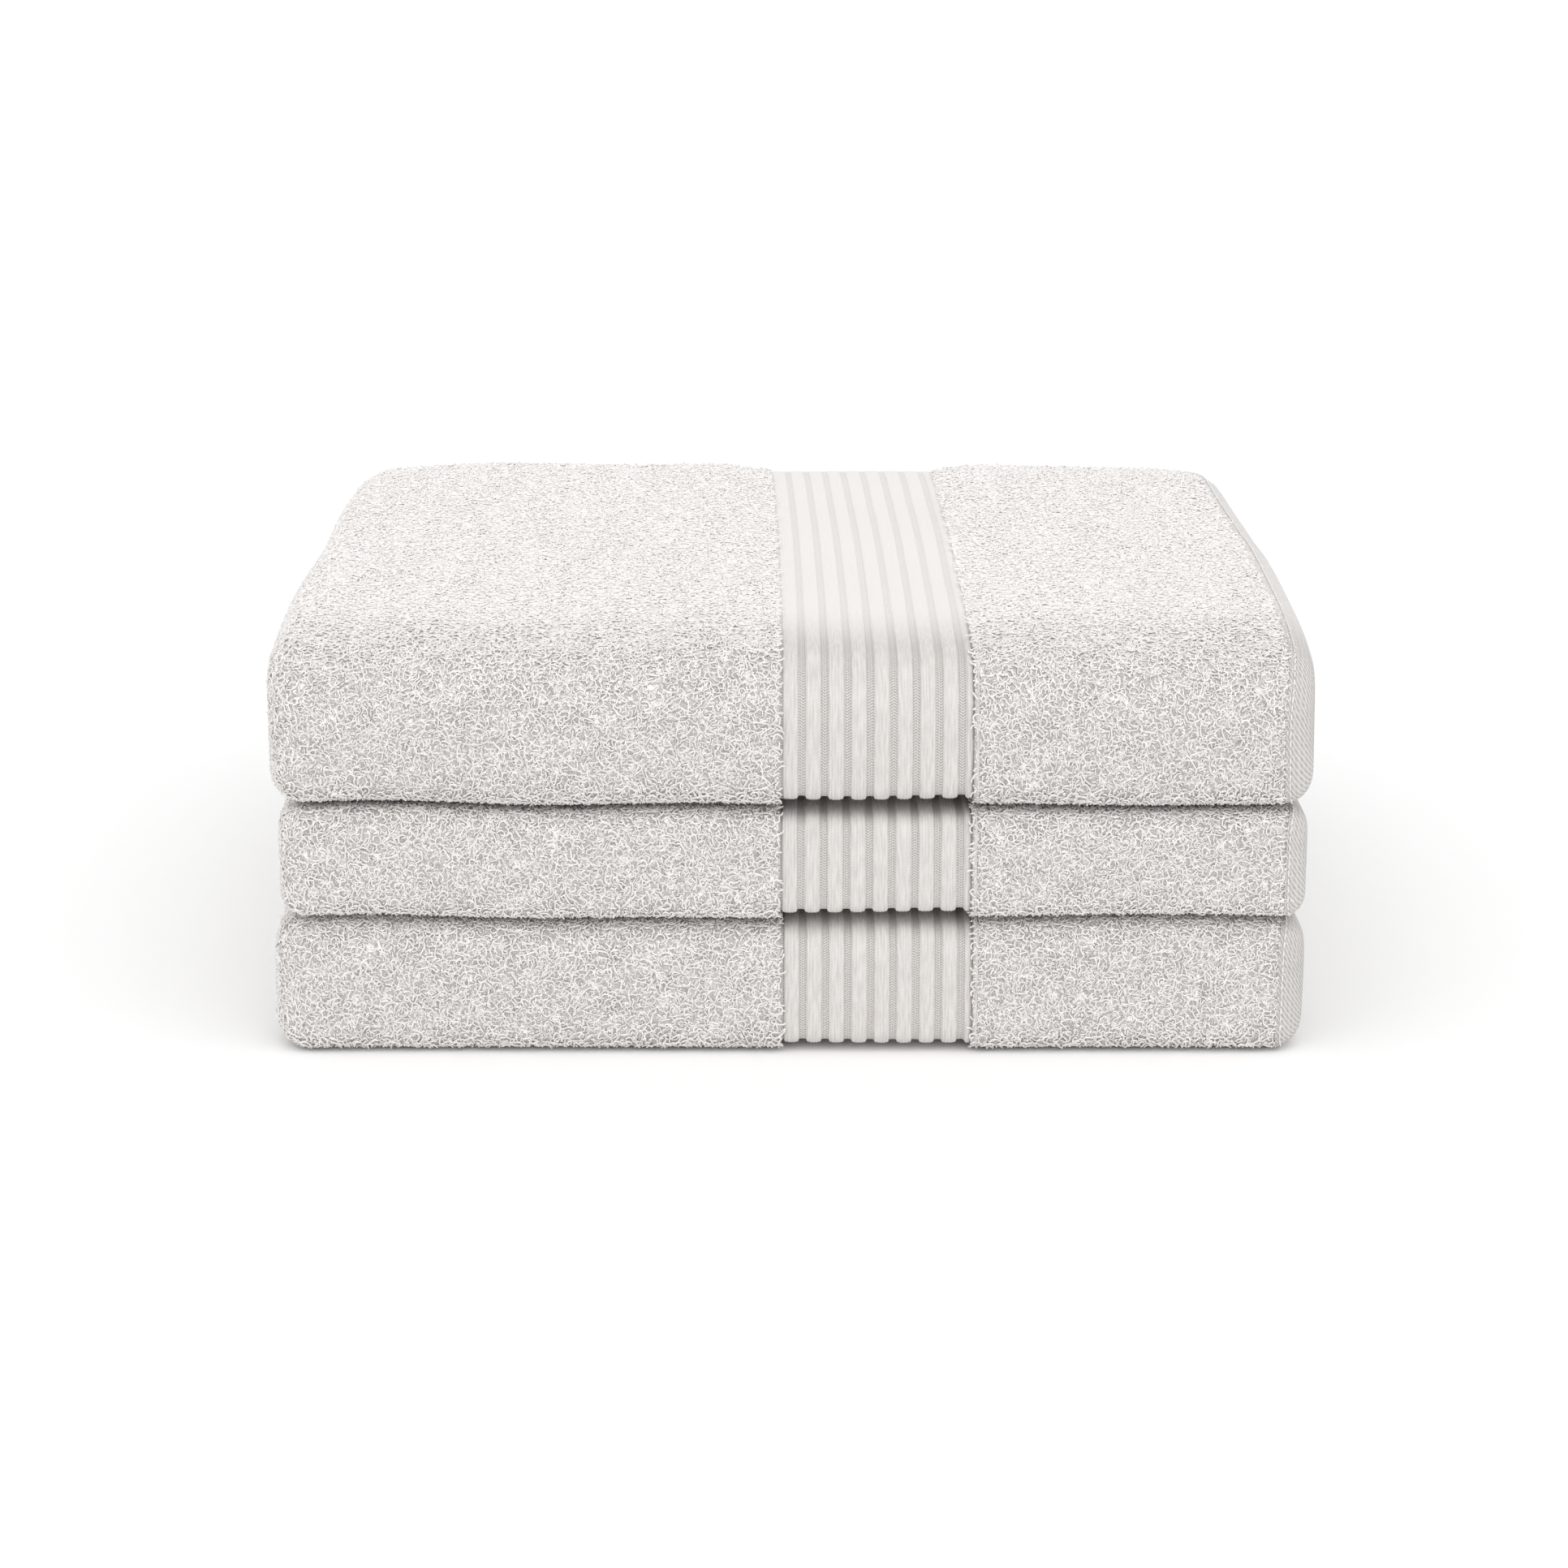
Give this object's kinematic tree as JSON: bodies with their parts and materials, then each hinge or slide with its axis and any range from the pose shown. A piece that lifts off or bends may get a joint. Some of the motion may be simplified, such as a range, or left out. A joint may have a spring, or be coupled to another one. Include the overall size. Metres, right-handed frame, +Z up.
{
  "type": "bath towel stack",
  "caption": "Folded terry bath towels in a stack, each with a ribbed woven band and a twill end hem; each lifts off the pile and opens at its front fold.",
  "frame": {"origin": "middle of the underside of the bottom towel, on the surface that the stack stands on", "axes": "+X towards the hemmed end, which is on the right from the front; +Y towards the selvedges at the back, so the rounded front bends face -Y; +Z up"},
  "size_m": [0.352, 0.34, 0.1426],
  "materials": {
    "terry": "looped cotton pile, matt",
    "woven_band": "flat ribbed cotton weave with a faint sheen",
    "hem": "twill cotton hem, matt"
  },
  "bodies": {
    "bottom_lower_half": {"bottom_lower_main_terry": "terry", "bottom_lower_woven_band": "woven_band", "bottom_lower_end_terry": "terry", "bottom_lower_end_hem": "hem", "bottom_lower_far_terry": "terry", "bottom_lower_far_hem": "hem", "bottom_lower_inner_quarters": "terry", "bottom_front_main_terry": "terry", "bottom_front_woven_band": "woven_band", "bottom_front_end_terry": "terry", "bottom_front_end_hem": "hem", "bottom_front_core": "terry"},
    "bottom_upper_half": {"bottom_upper_main_terry": "terry", "bottom_upper_woven_band": "woven_band", "bottom_upper_end_terry": "terry", "bottom_upper_end_hem": "hem", "bottom_upper_far_terry": "terry", "bottom_upper_far_hem": "hem", "bottom_upper_inner_quarters": "terry"},
    "middle_lower_half": {"middle_lower_main_terry": "terry", "middle_lower_woven_band": "woven_band", "middle_lower_end_terry": "terry", "middle_lower_end_hem": "hem", "middle_lower_far_terry": "terry", "middle_lower_far_hem": "hem", "middle_lower_inner_quarters": "terry", "middle_front_main_terry": "terry", "middle_front_woven_band": "woven_band", "middle_front_end_terry": "terry", "middle_front_end_hem": "hem", "middle_front_core": "terry"},
    "middle_upper_half": {"middle_upper_main_terry": "terry", "middle_upper_woven_band": "woven_band", "middle_upper_end_terry": "terry", "middle_upper_end_hem": "hem", "middle_upper_far_terry": "terry", "middle_upper_far_hem": "hem", "middle_upper_inner_quarters": "terry"},
    "top_lower_half": {"top_lower_main_terry": "terry", "top_lower_woven_band": "woven_band", "top_lower_end_terry": "terry", "top_lower_end_hem": "hem", "top_lower_far_terry": "terry", "top_lower_far_hem": "hem", "top_lower_inner_quarters": "terry", "top_front_main_terry": "terry", "top_front_woven_band": "woven_band", "top_front_end_terry": "terry", "top_front_end_hem": "hem", "top_front_core": "terry"},
    "top_upper_half": {"top_upper_main_terry": "terry", "top_upper_woven_band": "woven_band", "top_upper_end_terry": "terry", "top_upper_end_hem": "hem", "top_upper_far_terry": "terry", "top_upper_far_hem": "hem", "top_upper_inner_quarters": "terry"}
  },
  "joints": [
    {"name": "bottom_open", "type": "hinge", "parent": "bottom_lower_half", "child": "bottom_upper_half", "pos_m": [0, -0.145, 0.025], "axis": [1, 0, 0], "range_deg": [0, 28]},
    {"name": "middle_lift", "type": "slide", "parent": "bottom_upper_half", "child": "middle_lower_half", "axis": [0, 0, 1], "range_m": [0, 0.12]},
    {"name": "middle_open", "type": "hinge", "parent": "middle_lower_half", "child": "middle_upper_half", "pos_m": [0, -0.1505, 0.0698], "axis": [1, 0, 0], "range_deg": [0, 28]},
    {"name": "top_lift", "type": "slide", "parent": "middle_upper_half", "child": "top_lower_half", "axis": [0, 0, 1], "range_m": [0, 0.12]},
    {"name": "top_open", "type": "hinge", "parent": "top_lower_half", "child": "top_upper_half", "pos_m": [0, -0.1435, 0.1161], "axis": [1, 0, 0], "range_deg": [0, 28]}
  ]
}
